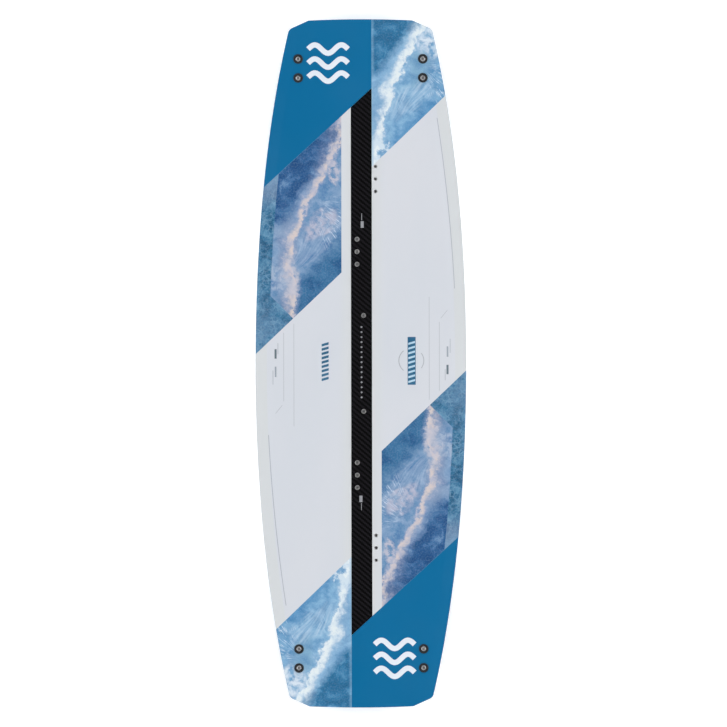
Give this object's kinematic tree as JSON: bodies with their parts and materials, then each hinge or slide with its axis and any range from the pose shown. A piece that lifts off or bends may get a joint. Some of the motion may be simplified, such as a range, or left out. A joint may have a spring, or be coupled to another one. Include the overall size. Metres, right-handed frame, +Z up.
{
  "type": "kiteboard",
  "caption": "Twin-tip kiteboard: laminated wood core with rocker, plastic rails, carbon stringer in the deck, threaded pad and handle inserts, and screwed-on fins under its corners.",
  "frame": {"origin": "under the middle of the board, on the plane that the four fins stand on", "axes": "+Y along the board from tail to nose, +X to the right across the board, +Z up out of the deck"},
  "size_m": [0.423, 1.38, 0.0653],
  "materials": {
    "wood": "bare paulownia",
    "glass_fibre": "glass fibre laminate in resin",
    "deck_film": "satin printed film",
    "base_film": "smooth printed film",
    "carbon": "carbon twill under clear film",
    "rail_plastic": "milled plastic sidewall",
    "stainless": "bright machined stainless steel",
    "brass": "turned brass",
    "washer_rubber": "matt black moulded washer",
    "fin_composite": "satin black glass-filled composite"
  },
  "bodies": {
    "root": {"wood_core": "wood", "deck_laminate": "glass_fibre", "base_laminate": "glass_fibre", "top_sheet": "deck_film", "base_sheet": "base_film", "carbon_stringer": "carbon", "left_rail": "rail_plastic", "right_rail": "rail_plastic", "nose_rail": "rail_plastic", "tail_rail": "rail_plastic", "pad_insert_nose_outer_1": "stainless", "pad_insert_nose_outer_2": "stainless", "pad_insert_nose_outer_3": "stainless", "pad_insert_nose_inner_1": "stainless", "pad_insert_nose_inner_2": "stainless", "pad_insert_nose_inner_3": "stainless", "pad_insert_tail_outer_1": "stainless", "pad_insert_tail_outer_2": "stainless", "pad_insert_tail_outer_3": "stainless", "pad_insert_tail_inner_1": "stainless", "pad_insert_tail_inner_2": "stainless", "pad_insert_tail_inner_3": "stainless", "handle_insert_nose": "stainless", "handle_insert_tail": "stainless", "fin_nose_left": "fin_composite", "fin_nose_right": "fin_composite", "fin_tail_left": "fin_composite", "fin_tail_right": "fin_composite", "fin_screw_nose_left_1": "stainless", "fin_screw_nose_left_2": "stainless", "fin_screw_nose_right_1": "stainless", "fin_screw_nose_right_2": "stainless", "fin_screw_tail_left_1": "stainless", "fin_screw_tail_left_2": "stainless", "fin_screw_tail_right_1": "stainless", "fin_screw_tail_right_2": "stainless", "fin_washer_nose_left_1": "washer_rubber", "fin_washer_nose_left_2": "washer_rubber", "fin_washer_nose_right_1": "washer_rubber", "fin_washer_nose_right_2": "washer_rubber", "fin_washer_tail_left_1": "washer_rubber", "fin_washer_tail_left_2": "washer_rubber", "fin_washer_tail_right_1": "washer_rubber", "fin_washer_tail_right_2": "washer_rubber", "fin_sleeve_nose_left_1": "brass", "fin_sleeve_nose_left_2": "brass", "fin_sleeve_nose_right_1": "brass", "fin_sleeve_nose_right_2": "brass", "fin_sleeve_tail_left_1": "brass", "fin_sleeve_tail_left_2": "brass", "fin_sleeve_tail_right_1": "brass", "fin_sleeve_tail_right_2": "brass"}
  },
  "joints": []
}
